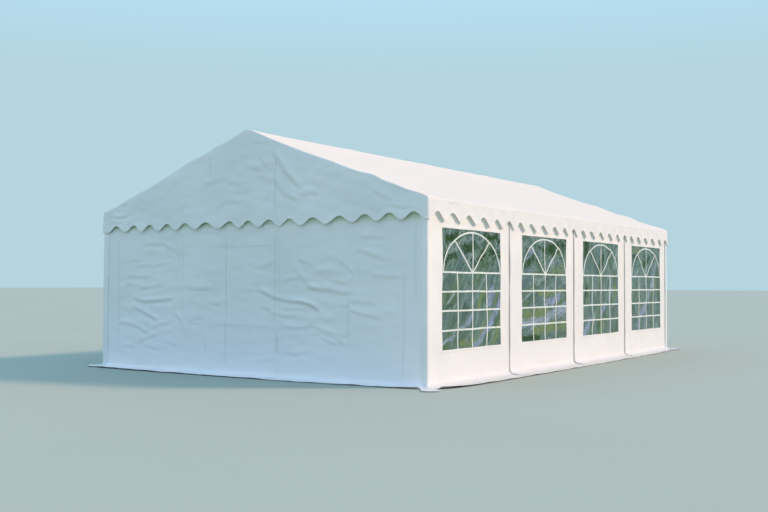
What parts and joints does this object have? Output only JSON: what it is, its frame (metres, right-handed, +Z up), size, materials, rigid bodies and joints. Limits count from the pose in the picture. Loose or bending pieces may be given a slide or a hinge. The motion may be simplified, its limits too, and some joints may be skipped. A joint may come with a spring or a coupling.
{
  "type": "marquee tent",
  "caption": "Gable-roofed party marquee: steel pole frame, white PVC cover with scalloped valances, window walls along both sides and zipped doorways in both ends.",
  "frame": {"origin": "on the ground at the middle of the plan", "axes": "+Y along the ridge towards the rear gable, +X across towards the right-hand wall, +Z up"},
  "size_m": [5.6756, 8.6756, 2.9794],
  "materials": {
    "frame": "galvanised, dull spangle",
    "cover": "PVC-coated polyester, white satin",
    "wall": "PVC-coated polyester, white satin, packing creases",
    "window": "clear soft PVC, glossy, rippled"
  },
  "bodies": {
    "root": {"leg_left_1": "frame", "leg_left_2": "frame", "leg_left_3": "frame", "leg_left_4": "frame", "leg_left_5": "frame", "leg_right_1": "frame", "leg_right_2": "frame", "leg_right_3": "frame", "leg_right_4": "frame", "leg_right_5": "frame", "rafter_left_1": "frame", "rafter_left_2": "frame", "rafter_left_3": "frame", "rafter_left_4": "frame", "rafter_left_5": "frame", "rafter_right_1": "frame", "rafter_right_2": "frame", "rafter_right_3": "frame", "rafter_right_4": "frame", "rafter_right_5": "frame", "ridge_purlin": "frame", "eave_purlin_left": "frame", "roof_purlin_left": "frame", "eave_purlin_right": "frame", "roof_purlin_right": "frame", "roof_sheet_left": "cover", "valance_left": "cover", "roof_sheet_right": "cover", "valance_right": "cover", "gable_front": "cover", "gable_rear": "cover", "side_wall_left_1": "wall", "side_wall_left_2": "wall", "side_wall_left_3": "wall", "side_wall_left_4": "wall", "side_wall_right_1": "wall", "side_wall_right_2": "wall", "side_wall_right_3": "wall", "side_wall_right_4": "wall", "window_left_1": "window", "window_left_2": "window", "window_left_3": "window", "window_left_4": "window", "window_right_1": "window", "window_right_2": "window", "window_right_3": "window", "window_right_4": "window", "front_wall": "wall", "rear_wall": "wall", "front_door_flap": "wall", "rear_door_flap": "wall"}
  },
  "joints": []
}
